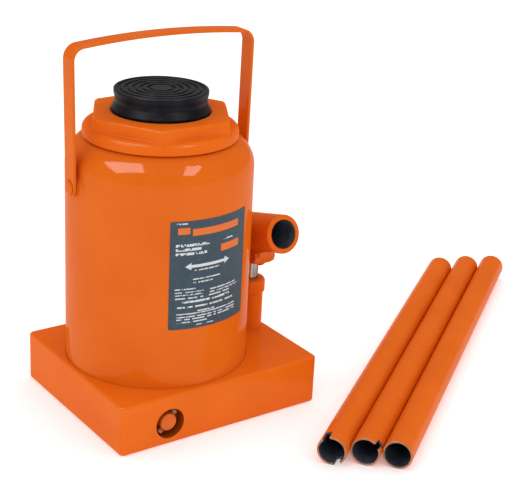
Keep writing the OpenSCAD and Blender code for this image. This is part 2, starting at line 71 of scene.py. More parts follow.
class Wire:
    """A socket of a node tree. Arithmetic on it adds the tree's Math nodes."""

    def __init__(self, board, socket):
        self.board, self.socket = board, socket

    def math(self, operation, *values):
        return self.board.node("ShaderNodeMath", {"operation": operation}, dict(enumerate(values)))

    def __add__(self, other):
        return self.math("ADD", self, other)

    def __radd__(self, other):
        return self.math("ADD", other, self)

    def __sub__(self, other):
        return self.math("SUBTRACT", self, other)

    def __rsub__(self, other):
        return self.math("SUBTRACT", other, self)

    def __mul__(self, other):
        return self.math("MULTIPLY", self, other)

    def __rmul__(self, other):
        return self.math("MULTIPLY", other, self)

    def __truediv__(self, other):
        return self.math("DIVIDE", self, other)

    def __rtruediv__(self, other):
        return self.math("DIVIDE", other, self)

    def __abs__(self):
        return self.math("ABSOLUTE", self)

    def __floor__(self):
        return self.math("FLOOR", self)

    def __gt__(self, other):
        return self.math("GREATER_THAN", self, other)

    def __lt__(self, other):
        return self.math("LESS_THAN", self, other)

    def ramp(self, start, end, low=0.0, high=1.0):
        """Goes from low to high while this socket goes from start to end."""
        return self.board.node(
            "ShaderNodeMapRange",
            {"clamp": True},
            {"Value": self, "From Min": start, "From Max": end, "To Min": low, "To Max": high},
        )


class Board:
    """A node tree being wired up, of a finish or of a shape."""

    def __init__(self, tree):
        self.tree = tree
        tree.nodes.clear()

    def node(self, kind, settings=None, sockets=None, out=0):
        """Adds a node, sets it up, and gives back one of its outputs."""
        made = self.tree.nodes.new(kind)
        for name, value in (settings or {}).items():
            if name == "stops":
                ramp = made.color_ramp
                while len(ramp.elements) < len(value):
                    ramp.elements.new(0.5)
                for stop, (place, colour) in zip(ramp.elements, value):
                    stop.position, stop.color = place, (*colour, 1)
            elif name == "interpolation":
                made.color_ramp.interpolation = value
            else:
                setattr(made, name, value)
        for name, value in (sockets or {}).items():
            if isinstance(value, Wire):
                self.tree.links.new(value.socket, made.inputs[name])
            else:
                made.inputs[name].default_value = value
        return Wire(self, made.outputs[out]) if made.outputs else None

    def mix(self, share, first, second):
        """A colour between two colours. Plain tuples are linear RGB."""
        first, second = ((*c, 1) if isinstance(c, tuple) else c for c in (first, second))
        return self.node("ShaderNodeMix", {"data_type": "RGBA"}, {0: share, 6: first, 7: second}, out=2)

    def noise(self, where, scale, detail):
        return self.node("ShaderNodeTexNoise", {}, {"Vector": where, "Scale": scale, "Detail": detail})

    def parts(self, vector):
        """The X, Y and Z of a vector."""
        return [self.node("ShaderNodeSeparateXYZ", {}, {"Vector": vector}, out=k) for k in range(3)]

    def bump(self, height, depth):
        """A surface normal raised by a height, whose full range is depth metres."""
        return self.node("ShaderNodeBump", {}, {"Height": height, "Distance": depth, "Strength": 1.0})


def finish(name, mixed):
    """A material whose Principled sockets are what mixed(board) returns."""
    material = bpy.data.materials.new(name)
    material.use_nodes = True
    board = Board(material.node_tree)
    shader = board.node("ShaderNodeBsdfPrincipled", {}, mixed(board))
    board.node("ShaderNodeOutputMaterial", {}, {"Surface": shader})
    return material


DULL_GLOSS = 0.2


def orange_enamel(name, peel=1.0, cast=0.0, tone=1.0, gloss=0.26):
    """Sprayed orange enamel: soft clouds of colour, orange peel, and the grain of what lies under it."""
    deep = tuple(c * tone for c in (0.67, 0.113, 0.0055))
    bright = tuple(c * tone for c in (0.73, 0.139, 0.009))

    def mixed(board):
        spot = board.node("ShaderNodeTexCoord", out=3)
        clouds = board.noise(spot, 16, 3)
        flecks = board.noise(spot, 420, 2)
        share = (clouds * 0.75 + flecks * 0.25).ramp(0.32, 0.68)
        height = board.noise(spot, 520, 1) * 0.5 * peel + board.noise(spot, 70, 2) * (peel + 5 * cast)
        grain = board.noise(spot, 900, 3) * cast
        return {
            "Base Color": board.mix(share, deep, bright),
            "Roughness": share.ramp(0, 1, 0.4, 0.3),
            "Specular IOR Level": 0.0,
            "Coat Weight": gloss,
            "Coat Roughness": 0.07 if gloss > DULL_GLOSS else 0.2,
            "Coat IOR": 1.45,
            "Normal": board.bump(height + grain, 0.00006),
        }

    return finish(name, mixed)


def rounded(corners, closed=True):
    """Points of an outline through (across, up, radius) corners in mm, with an arc at each corner.

    A point just before and after each arc keeps the flats beside it flat under smooth shading.
    """
    outline, hold = [], 0.15
    for k, (x, y, radius) in enumerate(corners):
        here = Vector((x, y))
        if radius <= 0 or (not closed and k in (0, len(corners) - 1)):
            outline.append(here)
            continue
        back = Vector(corners[k - 1][:2]) - here
        ahead = Vector(corners[(k + 1) % len(corners)][:2]) - here
        room = min(back.length, ahead.length)
        back, ahead = back.normalized(), ahead.normalized()
        turn = math.pi - back.angle(ahead)
        reach = radius * math.tan(turn / 2)
        centre = here + (back + ahead).normalized() * radius / math.cos(turn / 2)
        start = here + back * reach - centre
        side = 1 if back.cross(ahead) < 0 else -1
        steps = max(3, round(turn / math.radians(14)), round(radius * turn / 2.4))
        if reach + hold < room * 0.5:
            outline.append(here + back * (reach + hold))
        for s in range(steps + 1):
            outline.append(centre + Matrix.Rotation(side * turn * s / steps, 2) @ start)
        if reach + hold < room * 0.5:
            outline.append(here + ahead * (reach + hold))
    return outline


def plain(piece):
    """Swaps the piece for the plain mesh that its modifiers make of it."""
    graph = bpy.context.evaluated_depsgraph_get()
    graph.update()
    mesh = bpy.data.meshes.new_from_object(piece.evaluated_get(graph), depsgraph=graph)
    name = piece.name
    bpy.data.objects.remove(piece)
    mesh.name = name
    made = bpy.data.objects.new(name, mesh)
    bpy.context.scene.collection.objects.link(made)
    return made


def new_piece(name, points, edges, faces):
    mesh = bpy.data.meshes.new(name)
    mesh.from_pydata([tuple(p) for p in points], edges, faces)
    made = bpy.data.objects.new(name, mesh)
    bpy.context.scene.collection.objects.link(made)
    return made


def outwards(piece):
    """Merges doubled points and turns every face of the closed mesh outwards."""
    work = bmesh.new()
    work.from_mesh(piece.data)
    bmesh.ops.remove_doubles(work, verts=work.verts, dist=2e-7)
    bmesh.ops.dissolve_degenerate(work, edges=work.edges, dist=1e-7)
    bmesh.ops.recalc_face_normals(work, faces=work.faces)
    work.to_mesh(piece.data)
    work.free()
    return piece


def skin(name, sections, material, looped=False):
    """A closed skin over like sections in mm, each a ring of points. Its ends are flat, or join up."""
    count, last = len(sections[0]), len(sections) - 1
    faces = []
    for s in range(last + looped):
        here, there = s * count, (s + 1) % (last + 1) * count
        for k in range(count):
            beside = (k + 1) % count
            faces.append((here + k, here + beside, there + beside, there + k))
    if not looped:
        faces += [tuple(range(count)), tuple(range(last * count, (last + 1) * count))]
    points = [Vector(p) * MM for section in sections for p in section]
    piece = new_piece(name, points, [], faces)
    piece.data.materials.append(material)
    return outwards(piece)


def rod(start, end, radius, material, sides=72):
    """A plain cylinder between two points in mm."""
    start, end = Vector(start) * MM, Vector(end) * MM
    aim = (end - start).to_track_quat("Z", "Y").to_matrix().to_4x4()
    length = (end - start).length
    work = bmesh.new()
    bmesh.ops.create_cone(
        work, cap_ends=True, segments=sides, radius1=radius * MM, radius2=radius * MM, depth=length
    )
    bmesh.ops.transform(work, matrix=Matrix.Translation((start + end) / 2) @ aim, verts=work.verts)
    rod_piece = new_piece("rod", [], [], [])
    work.to_mesh(rod_piece.data)
    work.free()
    rod_piece.data.materials.append(material)
    return rod_piece


def cut(piece, *tools):
    """Takes the tools away from the piece. The cut faces get the tool's material."""
    for tool in tools:
        step = piece.modifiers.new("Cut", "BOOLEAN")
        step.operation, step.solver, step.object = "DIFFERENCE", "EXACT", tool
        step.material_mode = "TRANSFER"
    done = plain(piece)
    for tool in tools:
        bpy.data.objects.remove(tool)
    return done


def shaded(piece, angle=38):
    """Smooth shading with crisp edges, the large flats kept flat."""
    piece.data.shade_smooth()
    piece.data.set_sharp_from_angle(angle=math.radians(angle))
    step = piece.modifiers.new("Even shading", "WEIGHTED_NORMAL")
    step.keep_sharp = True
    return plain(piece)


def fit(piece, body, slot, *nodes):
    """Hands a finished piece to its body in the frame, and hides the CAD nodes it stands for. Its record slot
    is not used.
    """
    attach(piece, body)
    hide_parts(*nodes)


def middle_of(node):
    """The middle of a CAD node's box in mm, to a hundredth."""
    low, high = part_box(node)
    return tuple(round(v / MM / 2, 2) for v in low + high)


def quarter(radius, steps):
    """Inset and height in mm of the points round a quarter-round edge, from the flat face's rim on."""
    turns = [math.pi / 2 * k / steps for k in range(steps + 1)]
    return [(radius * (1 - math.sin(a)), radius * (1 - math.cos(a))) for a in turns]


# A lighter copy of the orange enamel (tone 1.09): painted light on the base and its lug, in place of light
# from the floor.
LIT_BASE_ENAMEL = orange_enamel("base_enamel", peel=0.7, cast=0.25, tone=1.09)


def dull_steel(name, dark, light):
    """Steel left bare in a bore: dark, blue-grey and dull, with a film of oil and dust."""

    def mixed(board):
        spot = board.node("ShaderNodeTexCoord", out=3)
        clouds = board.noise(spot, 140, 3).ramp(0.3, 0.7)
        return {
            "Base Color": board.mix(clouds, dark, light),
            "Metallic": 0.25,
            "Roughness": clouds.ramp(0, 1, 0.42, 0.6),
            "Normal": board.bump(board.noise(spot, 1000, 3), 0.00003),
        }

    return finish(name, mixed)


BORED_STEEL = dull_steel("bored_steel", (0.05, 0.058, 0.085), (0.11, 0.12, 0.155))
base_low, base_high = (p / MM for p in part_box("base"))
BASE_CORNER, BASE_RIM = 5.0, 2.5


def base_ring(inset, z):
    low, high = base_low, base_high
    r = BASE_CORNER - inset
    corners = [(low.x + inset, low.y + inset, r), (high.x - inset, low.y + inset, r),
               (high.x - inset, high.y - inset, r), (low.x + inset, high.y - inset, r)]
    return [(p.x, p.y, z) for p in rounded(corners)]


rim = quarter(BASE_RIM, 6)
rings = [base_ring(inset, up) for inset, up in rim]
rings += [base_ring(inset, base_high.z - up) for inset, up in reversed(rim)]
base = skin("cast_base", rings, LIT_BASE_ENAMEL)

PUMP_X = middle_of("pump_cylinder")[0]
VALVE_X, _, VALVE_Z = middle_of("release_seal")
RELIEF_X, _, OIL_HEIGHT = middle_of("relief_cap")
INLET_Y, GALLERY_Y = middle_of("inlet_plug")[1], middle_of("gallery_plug")[1]
FACE_Y, OUTSIDE_X, OUTSIDE_Y = base_low.y, base_high.x + 8, base_high.y + 5
PLUG_BORE, SPINDLE_BORE, PUMP_BORE = 5.05, 6.05, 12.5
RECESS_R, RECESS_DEEP = 14.2, 11.0
WELL_R, GROOVE_IN, GROOVE_OUT, WELL_SIDES = 56.6, 80.2, 84.3, 160
WELL_FLOOR, GROOVE_FLOOR, ABOVE = 30.0, 42.0, base_high.z + 13


def in_steel(start, end, radius, sides=72):
    return rod(start, end, radius, BORED_STEEL, sides)


groove = cut(
    in_steel((0, 0, GROOVE_FLOOR), (0, 0, ABOVE), GROOVE_OUT, WELL_SIDES),
    in_steel((0, 0, GROOVE_FLOOR - 2), (0, 0, ABOVE + 1), GROOVE_IN, WELL_SIDES),
)
# A much darker copy of the orange enamel (tone 0.42) on the recess walls: painted shade in the recess.
shaded_recess_enamel = orange_enamel("shaded_recess_enamel", peel=1.5, cast=1.0, tone=0.42, gloss=0.1)
recess_line = [(VALVE_X, FACE_Y - 1, VALVE_Z), (VALVE_X, FACE_Y + RECESS_DEEP, VALVE_Z)]
base = cut(
    base,
    rod(*recess_line, RECESS_R, shaded_recess_enamel, 96),
    groove,
    in_steel((0, 0, WELL_FLOOR), (0, 0, ABOVE), WELL_R, WELL_SIDES),
    in_steel((PUMP_X, 0, 20), (PUMP_X, 0, ABOVE), PUMP_BORE),
    in_steel((VALVE_X, FACE_Y + 5, VALVE_Z), (VALVE_X, -34, VALVE_Z), SPINDLE_BORE),
    in_steel((80, INLET_Y, OIL_HEIGHT), (OUTSIDE_X, INLET_Y, OIL_HEIGHT), PLUG_BORE),
    in_steel((100, GALLERY_Y, OIL_HEIGHT), (OUTSIDE_X, GALLERY_Y, OIL_HEIGHT), PLUG_BORE),
    in_steel((PUMP_X, 40, OIL_HEIGHT), (PUMP_X, OUTSIDE_Y, OIL_HEIGHT), PLUG_BORE),
    in_steel((RELIEF_X, 36, OIL_HEIGHT), (RELIEF_X, OUTSIDE_Y, OIL_HEIGHT), PLUG_BORE),
)
fit(shaded(base), "jack_body", "orange_enamel", "base")

# ---- Lug for the fulcrum links ----
# A rounded steel lug welded on the base behind the pump, under the base's own enamel. It is drilled
# across for the links' lower pin.
PIN_R, LUG_R, LUG_EDGE = 4.0, 9.0, 1.0
_, link_y, LINK_PIN_Z = middle_of("link_pin")
lug_low, lug_high = (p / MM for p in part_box("link_lug"))


def slab(name, outline, x0, x1, edge, material):
    """A plate across X from a (y, z) outline in mm, its rims rounded over."""
    middle = sum(outline, Vector((0, 0))) / len(outline)
    sections, rim = [], quarter(edge, 3)
    for side, x, curve in ((1, x0, rim), (-1, x1, reversed(rim))):
        for inset, depth in curve:
            ring = []
            for p in outline:
                out = p - middle
                ring.append((x + side * depth, *(middle + out * (1 - inset / out.length))))
            sections.append(ring)
    return skin(name, sections, material)


lug_outline = rounded([
    (link_y - LUG_R, lug_low.z - 1, 0), (link_y + LUG_R, lug_low.z - 1, 0),
    (link_y + LUG_R, lug_high.z, LUG_R - 0.1), (link_y - LUG_R, lug_high.z, LUG_R - 0.1),
])
lug = slab("link_lug_cast", lug_outline, lug_low.x, lug_high.x, LUG_EDGE, LIT_BASE_ENAMEL)
drilled = in_steel((lug_low.x - 1, link_y, LINK_PIN_Z), (lug_high.x + 1, link_y, LINK_PIN_Z), PIN_R + 0.05)
lug = cut(lug, drilled)
fit(shaded(lug), "jack_body", "orange_enamel", "link_lug")

# ---- Oil reservoir ----
# A tube of drawn steel with a spun, round-shouldered top, standing in a groove of the base and clamped
# down by the head nut. It is sprayed with thick orange enamel, and drilled at the back for the filler plug.


def shape_tree(name, inputs):
    """A Geometry Nodes tree with named inputs, given as (name, kind, value)."""
    tree = bpy.data.node_groups.new(name, "GeometryNodeTree")
    board = Board(tree)
    tree.interface.new_socket("Shape", in_out="INPUT", socket_type="NodeSocketGeometry")
    for label, kind, value in inputs:
        item = tree.interface.new_socket(label, in_out="INPUT", socket_type="NodeSocket" + kind)
        if value is not None:
            item.default_value = value
    tree.interface.new_socket("Shape", in_out="OUTPUT", socket_type="NodeSocketGeometry")
    entry = tree.nodes.new("NodeGroupInput")
    given = {socket.name: Wire(board, socket) for socket in entry.outputs if socket.name}
    return board, given


def close_tree(board, shape, material):
    """Ends a tree with real geometry in its finish."""
    real = board.node("GeometryNodeRealizeInstances", {}, {"Geometry": shape})
    dressed = board.node("GeometryNodeSetMaterial", {}, {"Geometry": real, "Material": material})
    board.node("NodeGroupOutput", {}, {"Shape": dressed})


def grown(piece, tree, **inputs):
    """Runs a shape tree on the piece with these inputs, and gives the plain mesh piece."""
    step = piece.modifiers.new(tree.name, "NODES")
    step.node_group = tree
    sockets = {i.name: i.identifier for i in tree.interface.items_tree if i.in_out == "INPUT"}
    for label, value in inputs.items():
        step[sockets[label.replace("_", " ")]] = value
    return plain(piece)


board, given = shape_tree(
    "Turned part",
    [("Steps", "Int", 160), ("Swing", "Float", 0.02), ("Finish", "Material", None)],
)
outline = board.node("GeometryNodeMeshToCurve", {}, {"Mesh": given["Shape"]})
shift = board.node("ShaderNodeCombineXYZ", {}, {"X": 0 - given["Swing"]})
outline = board.node("GeometryNodeTransform", {}, {"Geometry": outline, "Translation": shift})
circle = board.node(
    "GeometryNodeCurvePrimitiveCircle", {}, {"Resolution": given["Steps"], "Radius": given["Swing"]}
)
swept = board.node("GeometryNodeCurveToMesh", {}, {"Curve": circle, "Profile Curve": outline})
swept = board.node("GeometryNodeMergeByDistance", {}, {"Geometry": swept, "Distance": 1e-7})
close_tree(board, swept, given["Finish"])
TURNING = board.tree


def turned(name, corners, material, steps=160, place=None, closed=True):
    """A part turned about Z from its (radius, height, corner radius) outline in mm, then put in place."""
    outline = [(p.x * MM, -p.y * MM, 0) for p in rounded(corners, closed)]
    ends = [(k, k + 1) for k in range(len(outline) - 1)]
    if closed:
        ends.append((len(outline) - 1, 0))
    part = grown(new_piece(name, outline, ends, []), TURNING, Steps=steps, Finish=material)
    if place:
        part.data.transform(place)
    return outwards(part)


SHELL_ENAMEL = orange_enamel("shell_enamel", peel=0.6)
SHELL_R, SHELL_WALL, SHOULDER, MOUTH_R = 84.0, 3.5, 26.0, 57.3
SHELL_FOOT, SHELL_TOP = (p.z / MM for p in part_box("reservoir_shell"))
FILLER_Z, FILLER_HOLE = middle_of("oil_filler_plug")[2], 6.3
shell = turned(
    "reservoir_can",
    [(SHELL_R, SHELL_FOOT, 0.5), (SHELL_R, SHELL_TOP, SHOULDER), (MOUTH_R, SHELL_TOP, 0.5),
     (MOUTH_R, SHELL_TOP - SHELL_WALL, 0.3),
     (SHELL_R - SHELL_WALL, SHELL_TOP - SHELL_WALL, SHOULDER - SHELL_WALL),
     (SHELL_R - SHELL_WALL, SHELL_FOOT, 0.3)],
    SHELL_ENAMEL,
    steps=288,
)
shell = cut(shell, in_steel((0, SHELL_R - 12, FILLER_Z), (0, SHELL_R + 6, FILLER_Z), FILLER_HOLE))
fit(shaded(shell), "jack_body", "orange_enamel", "reservoir_shell")

# ---- Head nut ----
# A forged hexagon with a round collar, screwed down on the reservoir. Its corners are turned off and
# its edges are soft, under the same enamel. Inside it guides the ram and holds the wiper ring.
# A lighter copy of the orange enamel (tone 1.08): painted light on the head nut.
LIT_NUT_ENAMEL = orange_enamel("nut_enamel", peel=0.9, cast=0.5, tone=1.08, gloss=0.12)
NUT_FOOT, NUT_TOP = (p.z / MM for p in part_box("head_nut"))
COLLAR_FOOT, COLLAR_TOP, COLLAR_R, COLLAR_ROUND = 256.8, 267.0, 69.2, 5.5
HEX_FLAT, HEX_CORNER, FILLET = 58.9, 3.0, 1.2
RAM_BORE, WIPER_R, WIPER_Z, SCREWED_R = 41.05, 44.0, 270.1, 47.4


def hex_reach(turn):
    """Distance from the axis to the hexagon's side, in a direction in radians. A corner is on +X."""
    off = abs((turn + math.pi / 6) % (math.pi / 3) - math.pi / 6)
    centre = (HEX_FLAT - HEX_CORNER) / math.cos(math.pi / 6)
    if off < math.atan2(HEX_CORNER / 2, centre + HEX_CORNER * math.cos(math.pi / 6)):
        return centre * math.cos(off) + math.sqrt(HEX_CORNER**2 - (centre * math.sin(off)) ** 2)
    return HEX_FLAT / math.cos(math.pi / 6 - off)


def nut_section(turn):
    """The nut's (radius, height) outline in mm on one side of the axis, in a direction in radians."""
    reach = hex_reach(turn)
    soft = 1.7 + 0.22 * (reach - HEX_FLAT)
    section = [
        (RAM_BORE, NUT_FOOT), (SCREWED_R, NUT_FOOT), (SCREWED_R, 243), (45, 243), (45, 246), (SCREWED_R, 246),
        (SCREWED_R, 254.5), (57, 254.5), (57, 259), (62.9, 259), (62.9, COLLAR_FOOT + 0.2),
        (63.2, COLLAR_FOOT), (COLLAR_R - 0.3, COLLAR_FOOT), (COLLAR_R, COLLAR_FOOT + 0.3),
    ]
    hub = COLLAR_R - COLLAR_ROUND
    stop = math.acos(max(0.0, min(1.0, (reach + FILLET - hub) / COLLAR_ROUND)))
    for k in range(9):
        a = stop * k / 8
        section.append((hub + COLLAR_ROUND * math.cos(a), COLLAR_TOP - COLLAR_ROUND * (1 - math.sin(a))))
    last, foot = section[-1]
    if reach + FILLET < hub - 0.3:
        section.append((reach + FILLET + 0.2, foot))
    else:
        section.append((last - 0.05, foot + 0.02))
    for a in (math.radians(15), math.radians(45), math.radians(75)):
        section.append((reach + FILLET * (1 - math.sin(a)), foot + FILLET * (1 - math.cos(a))))
    section.append((reach, foot + FILLET + 0.1))
    section += [(reach - inset, NUT_TOP - drop) for inset, drop in reversed(quarter(soft, 6))]
    section += [
        (reach - soft - 0.3, NUT_TOP), (WIPER_R + 0.9, NUT_TOP), (WIPER_R + 0.1, NUT_TOP - 0.7),
        (WIPER_R, NUT_TOP - 1), (WIPER_R, WIPER_Z), (RAM_BORE, WIPER_Z),
    ]
    return section


NUT_STEPS = 360
nut_rings = []
for k in range(NUT_STEPS):
    turn = math.tau * k / NUT_STEPS
    nut_rings.append([(r * math.cos(turn), r * math.sin(turn), z) for r, z in nut_section(turn)])
nut = skin("hex_head_nut", nut_rings, LIT_NUT_ENAMEL, looped=True)
fit(shaded(nut, 32), "jack_body", "orange_enamel", "head_nut")

# ---- Ram ----
# A ground and hard-chromed steel bar, stepped at its foot for the piston and bored at its top for the
# saddle's spigot. It stands a few millimetres out of the head nut.


def bare_steel(name, tone, rough, scratch=1.0, cloudy=0.38):
    """Machined steel: fine turning scratches and a cloudy tone. Cloudy is how much darker its clouds are."""

    def mixed(board):
        spot = board.node("ShaderNodeTexCoord", out=3)
        clouds = board.noise(spot, 60, 3).ramp(0.35, 0.65)
        fine = board.noise(spot, 1400, 2)
        dark = tuple(c * (1 - cloudy) for c in tone)
        return {
            "Base Color": board.mix(clouds * 0.7 + fine * 0.3, dark, tone),
            "Metallic": 1.0,
            "Roughness": clouds.ramp(0, 1, rough, rough * 1.35),
            "Normal": board.bump(fine, 0.00001 * scratch),
        }

    return finish(name, mixed)


CHROME = bare_steel("ram_chrome", (0.62, 0.6, 0.57), 0.16, 0.4, cloudy=0.08)
RAM_FOOT, RAM_TOP = (p.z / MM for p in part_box("ram"))
RAM_R, PISTON_R, SPIGOT_R = 41.0, 30.0, 12.0
ram = turned(
    "ram_bar",
    [(0, RAM_FOOT, 0), (PISTON_R, RAM_FOOT, 1), (PISTON_R, RAM_FOOT + 21, 0.5), (RAM_R, RAM_FOOT + 21, 1),
     (RAM_R, RAM_TOP, 1), (SPIGOT_R, RAM_TOP, 0.3), (SPIGOT_R, RAM_TOP - 16, 0.3), (0, RAM_TOP - 16, 0)],
    CHROME,
    steps=160,
    closed=False,
)
fit(shaded(ram), "ram", "chromed_steel", "ram")

# ---- Saddle ----
# A forged steel cap, blackened, with concentric grip rings pressed into its top. Its spigot stands in
# the ram's bore.


def black_oxide(name, tone=0.012):
    """Blackened steel: near-black, slightly blue, painted paler on faces that look upwards, and a dull sheen.
    """

    def mixed(board):
        spot = board.node("ShaderNodeTexCoord", out=3)
        clouds = board.noise(spot, 90, 4).ramp(0.3, 0.7)
        grit = board.noise(spot, 1100, 3)
        # Painted top light: faces that look upwards are mixed towards the paler tone, which the clouds also
        # bring in at random.
        facing = board.node("ShaderNodeNewGeometry", out=1)
        top_light_share = board.parts(facing)[2].ramp(0.6, 0.95)
        share = clouds * 0.35 + top_light_share * 0.65
        dark = tuple(c * tone for c in (0.3, 0.34, 0.65))
        wear_and_top_light = tuple(c * tone for c in (2.3, 2.6, 2.8))
        return {
            "Base Color": board.mix(share, dark, wear_and_top_light),
            "Metallic": 0.0,
            "Specular IOR Level": 0.1,
            "Roughness": (clouds * 0.6 + grit * 0.4).ramp(0, 1, 0.32, 0.48),
            "Normal": board.bump(grit, 0.00003),
        }

    return finish(name, mixed)


SADDLE_BLACK = black_oxide("saddle_black")
SADDLE_R, SADDLE_TOP = 41.8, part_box("saddle")[1].z / MM
SKIRT_R, SKIRT_Z, GRIP_RINGS, GRIP_DEEP = 43.6, 278.6, 5, 1.2
grip = SADDLE_R / 6.5
saddle_profile = [
    (0, 268, 0), (SPIGOT_R, 268, 0.5), (SPIGOT_R, RAM_TOP, 0.2), (RAM_R + 0.05, RAM_TOP, 0.2),
    (RAM_R + 0.05, SKIRT_Z, 0.3), (SKIRT_R, SKIRT_Z, 0.6), (SKIRT_R, SKIRT_Z + 1.5, 0.7), (40.9, 286.6, 3),
    (40.7, 289.6, 3), (SADDLE_R, 294, 3), (SADDLE_R, SADDLE_TOP, 1.4),
]
for k in range(GRIP_RINGS, 0, -1):
    outer, inner = (k + 1) * grip, (k + 0.5) * grip
    for r, drop in ((outer, 0), (outer, GRIP_DEEP), (inner, GRIP_DEEP), (inner, 0)):
        saddle_profile.append((r, SADDLE_TOP - drop, 0.45))
saddle_profile.append((0, SADDLE_TOP, 0))
saddle = turned("saddle_cap", saddle_profile, SADDLE_BLACK, steps=192, closed=False)
fit(shaded(saddle, 30), "ram", "black_steel", "saddle")

# ---- Hand pump ----
# A painted steel cylinder screwed into the base, with a round gland nut on top. The bright plunger runs
# in it, domed and cross-drilled for the pin that joins it to the lever.
# A lighter copy of the orange enamel (tone 1.05): painted light on the pump barrel and gland.
LIT_PUMP_ENAMEL = orange_enamel("pump_enamel", peel=1.0, cast=0.3, tone=1.05)
on_pump = Matrix.Translation((PUMP_X * MM, 0, 0))
PLUNGER_R, PUMP_R, GLAND_R, GLAND_Z, PUMP_FOOT = 7.0, 12.4, 14.0, 84.0, 21.5
cylinder = turned(
    "pump_barrel",
    [(PLUNGER_R + 0.05, PUMP_FOOT, 0.3), (PUMP_R, PUMP_FOOT, 0.5), (PUMP_R, GLAND_Z, 0.4), (10, GLAND_Z, 0.2),
     (10, 90, 0.2), (PLUNGER_R + 0.05, 90, 0.2)],
    LIT_PUMP_ENAMEL,
    steps=96,
    place=on_pump,
)
fit(shaded(cylinder), "jack_body", "orange_enamel", "pump_cylinder")
gland = turned(
    "pump_gland",
    [(10.05, GLAND_Z, 0.2), (12.9, GLAND_Z, 0.3), (GLAND_R, GLAND_Z + 1.4, 0.6), (GLAND_R, 98.5, 3.6),
     (PLUNGER_R + 0.05, 98.5, 0.4), (PLUNGER_R + 0.05, 95, 0.1), (10.05, 95, 0.1)],
    LIT_PUMP_ENAMEL,
    steps=96,
    place=on_pump,
)
fit(shaded(gland), "jack_body", "orange_enamel", "gland_nut")
PIN_Z, DOME = middle_of("plunger_pin")[2], 6.9
PLUNGER_STEEL = bare_steel("plunger_steel", (0.5, 0.5, 0.5), 0.22)
plunger = turned(
    "pump_plunger_rod",
    [(0, 36, 0), (PLUNGER_R, 36, 0.8), (PLUNGER_R, PIN_Z + DOME, DOME - 0.1), (0, PIN_Z + DOME, 0)],
    PLUNGER_STEEL,
    steps=72,
    place=on_pump,
    closed=False,
)
plunger = cut(plunger, in_steel((PUMP_X - 10, 0, PIN_Z), (PUMP_X + 10, 0, PIN_Z), PIN_R))
fit(shaded(plunger), "plunger", "machined_steel", "pump_plunger")

# ---- Fulcrum links, pins and clips ----
# A pair of flat steel links carries the lever's fulcrum. Headed pins with sprung washers join them to
# the lug and to the lever, and join the lever to the plunger.
LINK_STEEL = black_oxide("link_black", 0.02)
PIN_STEEL = bare_steel("pin_steel", (0.38, 0.39, 0.41), 0.3)
TILT, PIN_GAP, LINK_R, LINK_T, LINK_X = 14.8, 26.0, 8.0, 4.0, 12.0
fulcrum_z = PIN_Z - PIN_GAP * math.sin(math.radians(TILT))
link_outline = rounded([
    (link_y + side * (LINK_R - 0.1), z, LINK_R - 0.2)
    for side, z in ((-1, LINK_PIN_Z - LINK_R), (1, LINK_PIN_Z - LINK_R), (1, fulcrum_z + LINK_R),
                    (-1, fulcrum_z + LINK_R))
])


def joined(name, pieces):
    """Several closed pieces as one."""
    materials, work = [], bmesh.new()
    for piece in pieces:
        start = len(work.faces)
        slots = list(piece.data.materials)
        work.from_mesh(piece.data)
        work.faces.ensure_lookup_table()
        for face in work.faces[start:]:
            material = slots[face.material_index]
            if material not in materials:
                materials.append(material)
            face.material_index = materials.index(material)
        bpy.data.objects.remove(piece)
    whole = new_piece(name, [], [], [])
    work.to_mesh(whole.data)
    work.free()
    for material in materials:
        whole.data.materials.append(material)
    return whole


links = []
for x in (PUMP_X - LINK_X - LINK_T, PUMP_X + LINK_X):
    link = slab("link", link_outline, x, x + LINK_T, 0.7, LINK_STEEL)
    holes = []
    for z in (LINK_PIN_Z, fulcrum_z):
        holes.append(in_steel((x - 1, link_y, z), (x + LINK_T + 1, link_y, z), PIN_R + 0.03))
    links.append(cut(link, *holes))
fit(shaded(joined("fulcrum_link_pair", links)), "fulcrum_links", "machined_steel", "fulcrum_links")

HEAD_R, HEAD_T = PIN_R + 2, 3.0
along_x = Matrix.Rotation(math.radians(90), 4, "Y")
for name, body, y, z, half in (
    ("link_pin", "jack_body", link_y, LINK_PIN_Z, LINK_X + LINK_T),
    ("fulcrum_pin", "fulcrum_links", link_y, fulcrum_z, LINK_X + LINK_T),
    ("plunger_pin", "plunger", 0.0, PIN_Z, 11.5),
):
    place = Matrix.Translation(Vector((PUMP_X, y, z)) * MM) @ along_x
    pin = turned(
        name + "_turned",
        [(0, -half - HEAD_T, 0), (HEAD_R, -half - HEAD_T, 0.8), (HEAD_R, -half - 0.3, 0.4),
         (PIN_R, -half - 0.3, 0), (PIN_R, half + 2.5, 0.7), (0, half + 2.5, 0)],
        PIN_STEEL,
        steps=48,
        place=place,
        closed=False,
    )
    fit(shaded(pin), body, "machined_steel", name)
    clip = turned(
        name + "_washer",
        [(PIN_R, half + 0.3, 0.1), (HEAD_R, half + 0.3, 0.2), (HEAD_R, half + 1.5, 0.4),
         (PIN_R, half + 1.5, 0.1)],
        LINK_STEEL,
        steps=48,
        place=place,
    )
    fit(shaded(clip), body, "spring_steel", name + "_clips")

# ---- Lever socket ----
# One cast piece: a thick-walled socket for the lever tube, closed at its back, on two cheeks that take
# the plunger and fulcrum pins. Painted outside, bare and dark inside the bore.
ROCKER_ENAMEL = orange_enamel("rocker_enamel", peel=1.2, cast=1.0)
RISE, SOCKET_R, BORE_R, MOUTH, BACK, BORE_END = 27.6, 18.3, 13.7, -57.5, 11.0, 8.0
CHEEK_IN, CHEEK_OUT, WEB_TOP, SLOT_HALF, ACROSS = 7.5, 11.5, RISE - 8, 1.8, 20.0


def box(low, high, material, place=None):
    """A plain box between two corners in mm."""
    corners = [(x, y, z) for z in (low[2], high[2]) for x, y in
               ((low[0], low[1]), (high[0], low[1]), (high[0], high[1]), (low[0], high[1]))]
    piece = skin("box", [corners[:4], corners[4:]], material)
    if place:
        piece.data.transform(place)
    return piece


